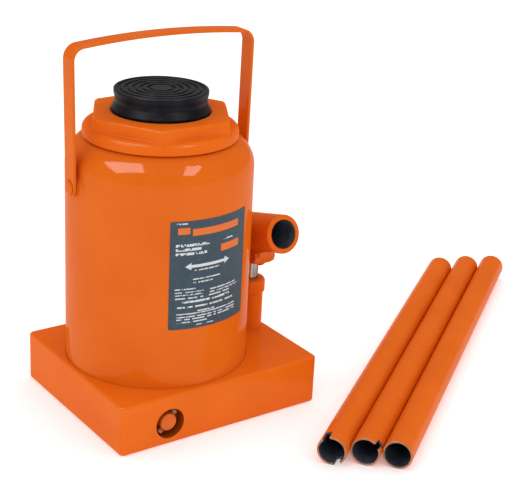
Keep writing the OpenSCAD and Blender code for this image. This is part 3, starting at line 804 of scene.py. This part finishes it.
on_lever = Matrix.Translation(Vector((PUMP_X, 0, PIN_Z)) * MM) @ Matrix.Rotation(math.radians(-TILT), 4, "X")
rough = [rod((0, MOUTH, RISE), (0, BACK, RISE), SOCKET_R, ROCKER_ENAMEL)]
for side in (-1, 1):
    x0, x1 = sorted((side * CHEEK_IN, side * CHEEK_OUT))
    rough += [
        rod((x0, 0, 0), (x1, 0, 0), 8.5, ROCKER_ENAMEL),
        rod((x0, PIN_GAP, 0), (x1, PIN_GAP, 0), 9, ROCKER_ENAMEL),
        box((x0, 0, -8.5), (x1, PIN_GAP, 8.5), ROCKER_ENAMEL),
        box((x0, -24, -2), (x1, 10, RISE - 6), ROCKER_ENAMEL),
        box((x0, -48, 8), (x1, -18, WEB_TOP), ROCKER_ENAMEL),
    ]
    web_outline = ((8, 0), (31, 0), (34, 5), (14, WEB_TOP), (10, WEB_TOP))
    rough.append(skin("web", [[(x, y, z) for y, z in web_outline] for x in (x0, x1)], ROCKER_ENAMEL))
rough += [
    box((-8, -30, -3), (8, -14, WEB_TOP), ROCKER_ENAMEL),
    box((-8, -48, 6), (8, -18, WEB_TOP), ROCKER_ENAMEL),
]
rocker = joined("lever_rocker", rough)
remesh = rocker.modifiers.new("Cast skin", "REMESH")
remesh.mode, remesh.voxel_size = "VOXEL", 0.75 * MM
soften = rocker.modifiers.new("Cast edges", "SMOOTH")
soften.factor, soften.iterations = 0.5, 5
rocker = plain(rocker)
rocker.data.materials.clear()
rocker.data.materials.append(ROCKER_ENAMEL)
slot_ends = []
for y in (-SLOT_HALF, SLOT_HALF):
    slot_ends.append(in_steel((-ACROSS, y, 0), (ACROSS, y, 0), PIN_R + 0.7, 48))
rocker = cut(
    rocker,
    rod((-12.5, -43, -13), (12.5, -43, -13), 25, ROCKER_ENAMEL, 96),
    in_steel((0, MOUTH - 3, RISE), (0, BORE_END, RISE), BORE_R, 96),
    *slot_ends,
    box((-ACROSS, -SLOT_HALF, -PIN_R - 0.7), (ACROSS, SLOT_HALF, PIN_R + 0.7), BORED_STEEL),
    in_steel((-ACROSS, PIN_GAP, 0), (ACROSS, PIN_GAP, 0), PIN_R + 0.05, 48),
)
rocker.data.transform(on_lever)
fit(shaded(rocker, 42), "rocker", "orange_enamel", "lever_socket", "socket_cheeks", "socket_end_plate")

# ---- Carrying handle ----
# A steel strap bent to a flat-topped bow, drilled at its round tips and hung on studs riveted to bosses
# on the reservoir, with a loose washer behind each tip.
STRAP_ENAMEL = orange_enamel("strap_enamel", peel=0.8, cast=0.2)
PIVOT_Z, TIP_R, STRAP_T, STRAP_SOFT = middle_of("handle_pivots")[2], 8.0, 3.0, 0.8
HALF_TOP, HALF_PIVOT, STRAP_CORNER, BOW = 91.5, 90.0, 13.0, 4.0
HANDLE_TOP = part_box("carry_handle")[1].z / MM


def strap_route():
    """The strap's right half from its tip to the top's middle, as (point, outward, drop).

    The point is on the outer face, and the drop is how far it lies below the pivot.
    """
    corner_z, half = HANDLE_TOP - BOW - STRAP_CORNER, HALF_TOP - STRAP_CORNER
    lean = (HALF_TOP - HALF_PIVOT) / (corner_z - PIVOT_Z)
    leg_out = Vector((1, -lean)).normalized()
    route = []
    drops = [TIP_R * math.cos(math.radians(a)) for a in range(3, 90, 8)]
    for drop in drops + [0.0, -8, -30, -55, -80]:
        route.append((Vector((HALF_PIVOT - drop * lean, PIVOT_Z - drop)), leg_out, drop))
    for a in range(0, 91, 9):
        out = Vector((math.cos(math.radians(a)), math.sin(math.radians(a))))
        route.append((Vector((half, corner_z)) + out * STRAP_CORNER, out, 0.0))
    bow_r = (half**2 + BOW**2) / (2 * BOW)
    for k in range(11):
        x = half * (0.94 - 0.094 * k)
        out = Vector((x, math.sqrt(bow_r**2 - x**2))).normalized()
        route.append((Vector((x, HANDLE_TOP - bow_r + math.sqrt(bow_r**2 - x**2))), out, 0.0))
    return route


right = strap_route()
left = [(Vector((-p.x, p.y)), Vector((-o.x, o.y)), drop) for p, o, drop in reversed(right[:-1])]
strap_rings = []
for point, out, drop in right + left:
    half = math.sqrt(TIP_R**2 - drop**2) if drop > 0 else TIP_R
    soft = min(STRAP_SOFT, half * 0.4)
    corners = [(0, -half, soft), (0, half, soft), (-STRAP_T, half, soft), (-STRAP_T, -half, soft)]
    ring = []
    for k, (d, y, r) in enumerate(corners):
        for a in (0, 30, 60, 90):
            turn = math.radians(a + (-90, 0, 90, 180)[k])
            inner = Vector((d - r if k < 2 else d + r, y + r if y < 0 else y - r))
            off = Vector((math.cos(turn), math.sin(turn))) * r
            spot = inner + off
            flat = point + out * spot.x
            ring.append((flat.x, spot.y, flat.y))
    strap_rings.append(ring)
strap = skin("carry_strap", strap_rings, STRAP_ENAMEL)
for side in (-1, 1):
    strap = cut(strap, in_steel((side * 80, 0, PIVOT_Z), (side * 100, 0, PIVOT_Z), PIN_R + 0.05))
fit(shaded(strap), "carry_handle", "orange_enamel", "carry_handle")

BOSS_R, BOSS_FACE, STUD_END, WASHER_R, WASHER_FACE = 11.5, 85.2, 92.2, 8.5, 85.5
studs, washers = [], []
for side in (-1, 1):
    place = Matrix.Translation((0, 0, PIVOT_Z * MM)) @ Matrix.Rotation(side * math.radians(90), 4, "Y")
    studs.append(turned(
        "stud",
        [(0, 76, 0), (BOSS_R, 76, 0), (BOSS_R, BOSS_FACE - 2, 0.2), (9, BOSS_FACE - 1, 1),
         (9, BOSS_FACE, 0.4), (PIN_R, BOSS_FACE, 0.1), (PIN_R, 90.4, 0.1), (6.5, 90.4, 0.3), (6.5, 91, 0.5),
         (4, STUD_END - 0.1, 2), (0, STUD_END, 0)],
        STRAP_ENAMEL, steps=64, place=place, closed=False,
    ))
    washers.append(turned(
        "washer",
        [(PIN_R + 0.05, WASHER_FACE, 0.15), (WASHER_R, WASHER_FACE, 0.3), (WASHER_R, WASHER_FACE + 1.05, 0.3),
         (PIN_R + 0.05, WASHER_FACE + 1.05, 0.15)],
        STRAP_ENAMEL, steps=64, place=place,
    ))
fit(shaded(joined("handle_studs", studs)), "jack_body", "orange_enamel", "handle_pivots")
fit(shaded(joined("stud_washers", washers)), "handle_washers", "orange_enamel", "handle_washers")

# ---- Release valve ----
# A screwed spindle in a recess of the base, painted over with it. Two lugs on its head take the notched
# end of a lever tube, and their corners are rubbed pale by it.
LUG_TURN, LUG_REACH, LUG_HALF = math.radians(48), 12.3, 2.5


def rubbed_and_shaded_enamel():
    """Orange enamel thin from wear, chalky and pale on the corners that a tool catches, with painted recess
    shade on the lug ends.
    """

    def mixed(board):
        spot = board.node("ShaderNodeTexCoord", out=3)
        x, _, z = board.parts(spot)
        reach = abs((x / MM - VALVE_X) * math.cos(LUG_TURN) + (z / MM - VALVE_Z) * math.sin(LUG_TURN))
        wear_and_top_light = (reach + board.noise(spot, 900, 3) * 4).ramp(10.8, 12.6)
        # Painted shade: the lug ends out past the head, down in the recess, are mixed to a dark brown like
        # the recess walls.
        lug = reach.ramp(7.6, 8.6)
        clouds = board.noise(spot, 300, 3).ramp(0.3, 0.7)
        paint = board.mix(clouds, (0.62, 0.105, 0.007), (0.74, 0.14, 0.011))
        paint_and_recess_shade = board.mix(lug, paint, (0.24, 0.055, 0.012))
        return {
            "Base Color": board.mix(wear_and_top_light * 0.6, paint_and_recess_shade, (0.6, 0.3, 0.15)),
            "Specular IOR Level": 0.2,
            "Roughness": wear_and_top_light.ramp(0, 1, 0.35, 0.6),
            "Normal": board.bump(board.noise(spot, 700, 3), 0.0001),
        }

    return finish("rubbed_and_shaded_enamel", mixed)


VALVE_ENAMEL = rubbed_and_shaded_enamel()
facing = Matrix.Translation(Vector((VALVE_X, 0, VALVE_Z)) * MM) @ Matrix.Rotation(math.radians(90), 4, "X")
SPINDLE_R, SPINDLE_HEAD_R, HEAD_BACK, HEAD_FACE, SPINDLE_END = 6.0, 8.2, 79.3, 88.0, 39.4
spindle = turned(
    "spindle",
    [(0, HEAD_FACE - 0.2, 0), (SPINDLE_HEAD_R, HEAD_FACE, 1.8), (SPINDLE_HEAD_R, HEAD_BACK, 0.2),
     (SPINDLE_R, HEAD_BACK, 0.2), (SPINDLE_R, 70, 0.1), (4.4, 70, 0.1), (4.4, 67, 0.1), (SPINDLE_R, 67, 0.1),
     (SPINDLE_R, 56, 0.3), (4, 56, 0.3), (4, SPINDLE_END, 0.6), (0, SPINDLE_END, 0)],
    VALVE_ENAMEL, steps=72, place=facing, closed=False,
)
lug_rings = []
for inset, depth in ((0.9, HEAD_FACE - 2), (0.3, HEAD_FACE - 2.3), (0, HEAD_FACE - 3), (0, HEAD_BACK)):
    x, y = LUG_REACH - inset, LUG_HALF - inset
    ring = rounded([(-x, -y, 1.4), (x, -y, 1.4), (x, y, 1.4), (-x, y, 1.4)])
    lug_rings.append([(p.x, p.y, depth) for p in ring])
lugs = skin("lugs", lug_rings, VALVE_ENAMEL)
lugs.data.transform(facing @ Matrix.Rotation(LUG_TURN, 4, "Z"))
fit(shaded(joined("release_screw", [spindle, lugs])), "release_spindle", "orange_enamel", "release_spindle")

# ---- Oil filler plug ----
# A moulded rubber bung with a ribbed head and a snap lip, pushed into a hole high on the back of the
# reservoir.


def moulded_rubber(name):
    def mixed(board):
        spot = board.node("ShaderNodeTexCoord", out=3)
        clouds = board.noise(spot, 120, 3).ramp(0.3, 0.7)
        grain = board.noise(spot, 1600, 2)
        return {
            "Base Color": board.mix(clouds, (0.012, 0.012, 0.013), (0.026, 0.026, 0.028)),
            "Roughness": clouds.ramp(0, 1, 0.55, 0.72),
            "Normal": board.bump(grain, 0.00003),
        }

    return finish(name, mixed)


RUBBER = moulded_rubber("moulded_rubber")
BUNG_R, BUNG_NECK, BUNG_SEAT, BUNG_RIBS, RIB_PITCH = 9.0, 6.2, 84.4, 3, 1.2
BUNG_IN, BUNG_OUT = (p.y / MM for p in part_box("oil_filler_plug"))
bung_profile = [
    (0, BUNG_IN, 0), (5.4, BUNG_IN, 0.8), (BUNG_NECK, 80.5, 0.8), (BUNG_NECK, BUNG_SEAT, 0.2),
    (BUNG_R, BUNG_SEAT, 0.3),
]
for k in range(BUNG_RIBS):
    rib = BUNG_SEAT + 0.8 + RIB_PITCH * k
    bung_profile += [(BUNG_R, rib, 0.2), (BUNG_R - 0.5, rib + 0.3, 0.2), (BUNG_R, rib + 0.7, 0.2)]
bung_profile += [
    (BUNG_R, BUNG_OUT, 0.9), (6, BUNG_OUT, 0.4), (5.6, BUNG_OUT - 0.6, 0.4), (0, BUNG_OUT - 0.6, 0),
]
backwards = Matrix.Translation((0, 0, FILLER_Z * MM)) @ Matrix.Rotation(math.radians(-90), 4, "X")
bung = turned("filler_bung", bung_profile, RUBBER, steps=72, place=backwards, closed=False)
fit(shaded(bung), "oil_filler_plug", "black_rubber", "oil_filler_plug")

# ---- Lever tubes ----
# Three lengths of steel tube, sprayed orange outside and bare inside, laid side by side on the floor.
# Two are notched at the near end for the release valve and the lever socket. A notch is (turn in
# degrees, width, start, end), and a tube is (near end, length, notches).
# A lighter copy of the orange enamel (tone 1.05): painted light on the lever tubes.
LIT_TUBE_ENAMEL = orange_enamel("tube_enamel", peel=0.5, tone=1.05)
TUBE_STEEL = dull_steel("tube_steel", (0.034, 0.04, 0.062), (0.065, 0.074, 0.1))
WORN_RIM = dull_steel("worn_rim", (0.3, 0.11, 0.05), (0.5, 0.22, 0.11))
TUBE_R, TUBE_BORE, LAY_TURN, SKIN = 13.5, 11.5, math.radians(36), 0.25
TUBES = (
    (Vector((62.2, -192.2, TUBE_R)), 460.0, ((-116, 6.5, 0, 11), (64, 6.5, 0, 11))),
    (Vector((86.8, -208.2, TUBE_R)), 468.0, ((-38, 5.5, 0, 9), (-26, 5.0, 4.5, 9))),
    (Vector((107.76, -226.84, TUBE_R)), 476.0, ()),
)
for number, (near_end, length, notches) in enumerate(TUBES, 1):
    lay = Matrix.Translation(near_end * MM) @ Matrix.Rotation(LAY_TURN, 4, "Z")
    tube = turned(
        f"lever_pipe_{number}",
        [(TUBE_BORE, 0, 0.4), (TUBE_R, 0, 0.7), (TUBE_R, length, 0.7), (TUBE_BORE, length, 0.4)],
        LIT_TUBE_ENAMEL, steps=96, place=lay @ along_x,
    )
    tube.data.materials.append(TUBE_STEEL)
    tube.data.materials.append(WORN_RIM)
    axis = lay.to_3x3() @ Vector((1, 0, 0))
    for face in tube.data.polygons:
        off = face.center - near_end * MM
        along = off.dot(axis) / MM
        if (off - axis * off.dot(axis)).length < (TUBE_BORE + SKIN) * MM:
            face.material_index = 1
        elif along < SKIN or along > length - SKIN:
            face.material_index = 2
    tools = []
    for angle, width, start, end in notches:
        place = lay @ Matrix.Rotation(math.radians(angle), 4, "X")
        low_corner = (start if start else -1, -TUBE_R - 1, -width / 2)
        tools.append(box(low_corner, (end, 0, width / 2), TUBE_STEEL, place))
    if tools:
        tube = cut(tube, *tools)
    name = f"lever_tube_{number}"
    fit(shaded(tube), name, "orange_enamel", name)

# ---- Rating plate ----
# A thin printed sheet-metal plate glued round the front of the reservoir. Its print is plain bars and a
# double arrow for the ram's travel.
PLATE_Z, PLATE_TOP = (p.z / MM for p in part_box("label_plate"))
PLATE_W, PLATE_FROM, PLATE_SWEEP, PLATE_IN, PLATE_OUT, PLATE_CORNER = 82.0, -114.7, 55.9, 84.02, 84.4, 1.5
PRINT_SCALE = 100
ARROW_UP, ARROW_LEFT, ARROW_RIGHT, HEAD_LONG, TAIL_HALF = 58.5, 13.6, 58.8, 5.6, 1.3


def printed_plate():
    """Slate-coloured print. Places on it are in mm from the plate's lower left corner."""

    def mixed(board):
        across, up, _ = board.parts(board.node("ShaderNodeUVMap"))
        across, up = across * PRINT_SCALE, up * PRINT_SCALE
        spot = board.node("ShaderNodeTexCoord", out=3)

        def lines(*rows):
            """Rows of (up from, up to, across from, across to) as one mask.

            A ramp along the height holds the ends of each row in the green and blue of its step.
            """
            stops = [(0.0, (0, 0, 0))]
            for up0, up1, left, right in sorted(rows):
                stops.append((up0 / PRINT_SCALE, (1, left / PRINT_SCALE, right / PRINT_SCALE)))
                stops.append((up1 / PRINT_SCALE, (0, 0, 0)))
            ramp = board.node(
                "ShaderNodeValToRGB", {"interpolation": "CONSTANT", "stops": stops}, {"Fac": up / PRINT_SCALE}
            )
            printed, left, right = (
                board.node("ShaderNodeSeparateColor", {}, {"Color": ramp}, out=k) for k in range(3)
            )
            return printed * (across > left * PRINT_SCALE) * (across < right * PRINT_SCALE)

        def words(scale, gap):
            """Breaks a row into words: cells of noise along it."""
            row = math.floor(up / 2.0) * 3.7
            cell = board.node("ShaderNodeCombineXYZ", {}, {"X": across * scale, "Y": row})
            cell = board.node("ShaderNodeVectorMath", {"operation": "FLOOR"}, {0: cell})
            return board.node("ShaderNodeTexWhiteNoise", {"noise_dimensions": "2D"}, {"Vector": cell}) > gap

        headings = lines(
            (97, 98.4, 5, 15), (76.6, 79.2, 5, 36), (72.8, 75.2, 5, 28), (68.8, 71.2, 5, 33.6),
            (53.8, 55, 22.5, 47), (45.4, 46.6, 21, 48.5), (42.4, 43.6, 21, 46),
        )
        right_rows = lines(
            (77.4, 78.6, 51, 63), (33.8, 34.8, 37, 71.5), (31.2, 32.2, 37, 71.5), (28.5, 29.5, 37, 60.5),
        )
        left_rows = lines(
            (36.9, 38.1, 5, 23.6), (34, 35, 5, 31.4), (31.5, 32.5, 5, 31.4), (28.5, 29.5, 5, 31.4),
            (24.4, 26.2, 11.6, 60.7), (19.7, 21.1, 6.8, 65.7), (15.4, 16.6, 26, 43), (13.5, 14.5, 7, 68.5),
            (10.8, 11.8, 7, 68.5), (8.5, 9.5, 7, 68.5), (5.7, 6.7, 7, 36.5), (2.4, 3.4, 25.5, 42.6),
        )
        ink = (headings + right_rows + left_rows) * words(0.42, 0.16) * words(1.3, 0.12)
        orange = lines((86, 92.5, 19.7, 70)) * words(0.16, 0.0)
        orange = orange + lines((88, 94, 6.6, 17.3)) + lines((67.5, 74, 48.5, 71.5))
        away = abs(up - ARROW_UP)
        tail = (away < TAIL_HALF) * (across > 18) * (across < 54)
        left_head = (away < (across - ARROW_LEFT) * 0.6) * (across < ARROW_LEFT + HEAD_LONG)
        right_head = (away < (ARROW_RIGHT - across) * 0.6) * (across > ARROW_RIGHT - HEAD_LONG)
        arrow = (tail + left_head * (across > ARROW_LEFT) + right_head * (across < ARROW_RIGHT)) > 0.5
        edge_band = abs(across - PLATE_W / 2) > 40.3
        wear = board.noise(spot, 260, 3).ramp(0.3, 0.7)
        slate = board.mix(wear, (0.042, 0.066, 0.086), (0.054, 0.083, 0.106))
        slate = board.mix(edge_band * 0.5, slate, (0.03, 0.045, 0.06))
        colour = board.mix((ink + arrow) > 0.5, slate, (0.62, 0.64, 0.66))
        colour = board.mix(orange > 0.5, colour, (0.72, 0.16, 0.03))
        return {
            "Base Color": colour,
            "Roughness": wear.ramp(0, 1, 0.42, 0.5),
            "Specular IOR Level": 0.15,
            "Normal": board.bump(wear, 0.00001),
        }

    return finish("printed_plate", mixed)


columns = [0, 0.15, 0.5, 1, 1.5] + [1.5 + 79 * k / 60 for k in range(1, 60)] + [80.5, 81, 81.5, 81.85, 82]
plate_rings = []
for u in columns:
    near = min(u, PLATE_W - u)
    trim = 0.0
    if near < PLATE_CORNER:
        trim = PLATE_CORNER - math.sqrt(PLATE_CORNER**2 - (PLATE_CORNER - near) ** 2)
    turn = math.radians(PLATE_FROM + PLATE_SWEEP * u / PLATE_W)
    low, high = PLATE_Z + trim, PLATE_TOP - trim
    section = ((PLATE_IN, low), (PLATE_OUT, low), (PLATE_OUT, high), (PLATE_IN, high))
    plate_rings.append([(r * math.cos(turn), r * math.sin(turn), z) for r, z in section])
plate = skin("rating_plate", plate_rings, printed_plate())
uv = plate.data.uv_layers.new(name="Print")
for loop in plate.data.loops:
    spot = plate.data.vertices[loop.vertex_index].co / MM
    across = (math.degrees(math.atan2(spot.y, spot.x)) - PLATE_FROM) / PLATE_SWEEP * PLATE_W
    uv.data[loop.index].uv = (across / PRINT_SCALE, (spot.z - PLATE_Z) / PRINT_SCALE)
fit(shaded(plate), "jack_body", "label_print", "label_plate")

# ---- Parts inside and in the oil ways ----
# Cylinder, piston, seals, washers, valve balls, springs and screwed plugs, as turned. They keep the
# frame's own meshes, and get their finish here.


def dress(material, *nodes):
    for name in nodes:
        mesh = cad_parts[name].data
        mesh.materials.clear()
        mesh.materials.append(material)


def soft_metal(name, dark, light, rough):
    def mixed(board):
        spot = board.node("ShaderNodeTexCoord", out=3)
        clouds = board.noise(spot, 80, 3).ramp(0.3, 0.7)
        return {
            "Base Color": board.mix(clouds, dark, light),
            "Metallic": 1.0,
            "Roughness": clouds.ramp(0, 1, rough, rough + 0.12),
            "Normal": board.bump(board.noise(spot, 1200, 2), 0.00001),
        }

    return finish(name, mixed)


TURNED_STEEL = bare_steel("turned_steel", (0.42, 0.43, 0.45), 0.3)
dress(
    TURNED_STEEL,
    "lift_cylinder", "piston_retainer", "inlet_ball", "delivery_ball", "relief_ball", "release_ball",
    "inlet_plug", "delivery_plug", "gallery_plug", "relief_screw",
)
SPRING_WIRE = bare_steel("spring_wire", (0.5, 0.5, 0.52), 0.25)
dress(SPRING_WIRE, "inlet_spring", "delivery_spring", "relief_spring")
dress(
    RUBBER,
    "lower_shell_gasket", "upper_shell_gasket", "head_seal", "plunger_seal", "piston_seal", "release_seal",
)
dress(black_oxide("wiper_black", 0.016), "wiper_ring")
dress(soft_metal("copper", (0.5, 0.2, 0.11), (0.72, 0.33, 0.2), 0.3), "cylinder_washer", "pump_washer")
dress(soft_metal("bronze", (0.42, 0.27, 0.1), (0.6, 0.42, 0.18), 0.32), "piston_guide", "relief_cap")

# ---- Studio ----
# A white floor and sky, one broad soft light overhead, and two small windows that only the glossy
# shoulder mirrors. The sky looks dimmer in the enamel than it is, so that the orange stays deep.


def pale_floor():
    def mixed(board):
        spot = board.node("ShaderNodeTexCoord", out=3)
        return {
            "Base Color": board.mix(board.noise(spot, 3, 2), (0.93, 0.93, 0.93), (0.95, 0.95, 0.95)),
            "Roughness": 0.9,
            "Specular IOR Level": 0.0,
            "Emission Color": (1, 1, 1, 1),
            "Emission Strength": 0.22,
        }

    return finish("pale_floor", mixed)


FLOOR_HALF, SKY_MIRRORED = 6.0, 0.3
floor_corners = [(x * FLOOR_HALF, y * FLOOR_HALF, 0) for x, y in ((-1, -1), (1, -1), (1, 1), (-1, 1))]
floor = new_piece("studio_floor", floor_corners, [], [(0, 1, 2, 3)])
floor.data.materials.append(pale_floor())
floor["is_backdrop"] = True

scene = bpy.context.scene
scene.view_settings.view_transform = "Standard"
world = bpy.data.worlds.new("studio_sky")
world.use_nodes = True
sky = Board(world.node_tree)
mirrored = sky.node("ShaderNodeLightPath", out=3)
strength = mirrored.ramp(0, 1, 1.0, SKY_MIRRORED)
glow = sky.node("ShaderNodeBackground", {}, {"Color": (1, 1, 1, 1), "Strength": strength})
sky.node("ShaderNodeOutputWorld", {}, {"Surface": glow})
scene.world = world

EYE = Vector((-0.59128, -0.96742, 0.59593))
aim_turn, aim_rise, roll = math.radians(-36.40), math.radians(21.41), math.radians(3.0)
flat = math.cos(aim_rise)
back = Vector((math.sin(aim_turn) * flat, -math.cos(aim_turn) * flat, math.sin(aim_rise)))
level = Vector((0, 0, 1)).cross(back).normalized()
rise = back.cross(level)
right_way = math.cos(roll) * level + math.sin(roll) * rise
up_way = -math.sin(roll) * level + math.cos(roll) * rise
lens = bpy.data.cameras.new("camera")
lens.lens, lens.sensor_width = 90.18, 36.0
camera = bpy.data.objects.new("camera", lens)
camera.matrix_world = Matrix((right_way, up_way, back)).transposed().to_4x4()
camera.matrix_world.translation = EYE
scene.collection.objects.link(camera)
scene.camera = camera


def soft_light(name, place, across, up, glare):
    """A softbox from its middle and its two spans in metres, shining at the jack. Glare is its radiance."""
    place, across, up = Vector(place), Vector(across), Vector(up)
    light = bpy.data.lights.new(name, "AREA")
    light.shape, light.size, light.size_y = "RECTANGLE", across.length, up.length
    light.energy = glare * math.pi * light.size * light.size_y
    x = across.normalized()
    z = x.cross(up).normalized()
    if z.dot(place) < 0:
        x, z = -x, -z
    lamp = bpy.data.objects.new(name, light)
    lamp.matrix_world = Matrix((x, z.cross(x), z)).transposed().to_4x4()
    lamp.matrix_world.translation = place
    scene.collection.objects.link(lamp)
    return lamp


WINDOW_GLARE = 17.0
soft_light("overhead", (-0.3, -0.6, 1.9), (1.6, 0, 0), (0, 1.6, 0), 0.4)
for name, place, across, up in (
    ("left_window", (-0.96, 0.0, 1.42), (0.61, -0.63, 0.44), (0.71, 0.52, 0.5)),
    ("right_window", (0.33, -0.98, 1.39), (0.34, -0.07, -0.16), (0.26, 0.8, 0.53)),
):
    window = soft_light(name, place, across, up, WINDOW_GLARE)
    window.visible_diffuse = False

# ---- Sizes and close ----
# The whole object's box from the finished looks.
low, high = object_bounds()
